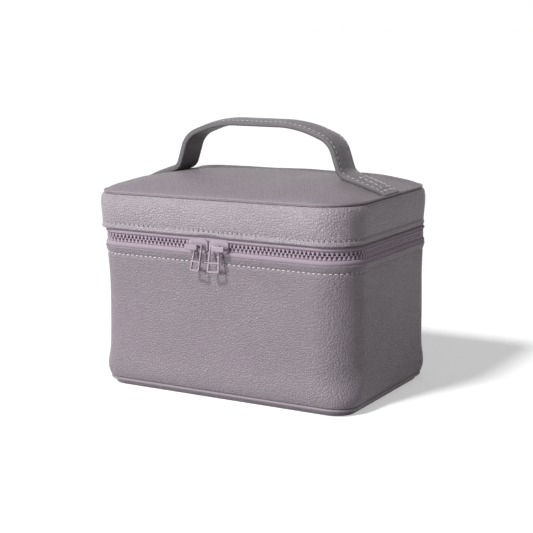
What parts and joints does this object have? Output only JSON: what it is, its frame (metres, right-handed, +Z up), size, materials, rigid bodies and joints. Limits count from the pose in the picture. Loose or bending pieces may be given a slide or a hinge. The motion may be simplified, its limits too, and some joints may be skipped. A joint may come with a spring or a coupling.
{
  "type": "zip-round vanity case",
  "caption": "Soft vanity case for make-up: rounded box body, padded lid with a carrying strap, joined by a zip that runs round to a hinge strip at the back.",
  "frame": {"origin": "on the surface the case stands on, under the middle of the body's outline", "axes": "+X to the case's right, along its long side; +Y to its back, where the lid is hinged; +Z up"},
  "size_m": [0.2032, 0.1427, 0.1879],
  "materials": {
    "leather": "fine pebbled grain, satin",
    "piping": "fine grain, satin",
    "strap_leather": "pebbled face, dark painted edges",
    "filler": "bonded fibre",
    "foam": "open foam",
    "board": "matt",
    "lining": "fine woven",
    "zip_tape": "herringbone woven",
    "zip_teeth": "moulded, satin",
    "slider_metal": "lacquered, glossy"
  },
  "bodies": {
    "case": {"body_shell": "leather", "body_board": "board", "body_lining": "lining", "bottom_panel": "leather", "bottom_board": "board", "bottom_bead": "piping", "lower_zip_tape": "zip_tape", "lower_zip_teeth": "zip_teeth", "zip_end_stops": "zip_teeth", "hinge_strip": "leather", "hinge_lining": "lining"},
    "lid": {"lid_band": "leather", "lid_frame": "board", "lid_board": "board", "lid_lining": "lining", "lid_top_panel": "leather", "lid_foam": "foam", "lid_top_bead": "piping", "upper_zip_tape": "zip_tape", "upper_zip_teeth": "zip_teeth", "handle_under_strap": "strap_leather", "handle_core": "filler", "handle_top_strap": "strap_leather"},
    "left_slider": {"left_slider_body": "slider_metal", "left_slider_bail": "slider_metal"},
    "left_pull": {"left_pull": "slider_metal"},
    "right_slider": {"right_slider_body": "slider_metal", "right_slider_bail": "slider_metal"},
    "right_pull": {"right_pull": "slider_metal"}
  },
  "joints": [
    {"name": "lid_hinge", "type": "hinge", "parent": "case", "child": "lid", "pos_m": [0, 0.0669, 0.1072], "axis": [-1, 0, 0], "range_deg": [0, 170], "deforming": ["hinge_strip", "hinge_lining"]},
    {"name": "left_slider_slide", "type": "slide", "parent": "case", "child": "left_slider", "axis": [-1, 0, 0], "range_m": [0, 0.056]},
    {"name": "left_pull_swing", "type": "hinge", "parent": "left_slider", "child": "left_pull", "pos_m": [-0.01225, -0.07015, 0.1064], "axis": [0.2347, 0.9415, -0.2419], "range_deg": [-5, 30]},
    {"name": "right_slider_slide", "type": "slide", "parent": "case", "child": "right_slider", "axis": [1, 0, 0], "range_m": [0, 0.067]},
    {"name": "right_pull_swing", "type": "hinge", "parent": "right_slider", "child": "right_pull", "pos_m": [0.00055, -0.07015, 0.1064], "axis": [0.2347, -0.9415, 0.2419], "range_deg": [-5, 30]}
  ]
}
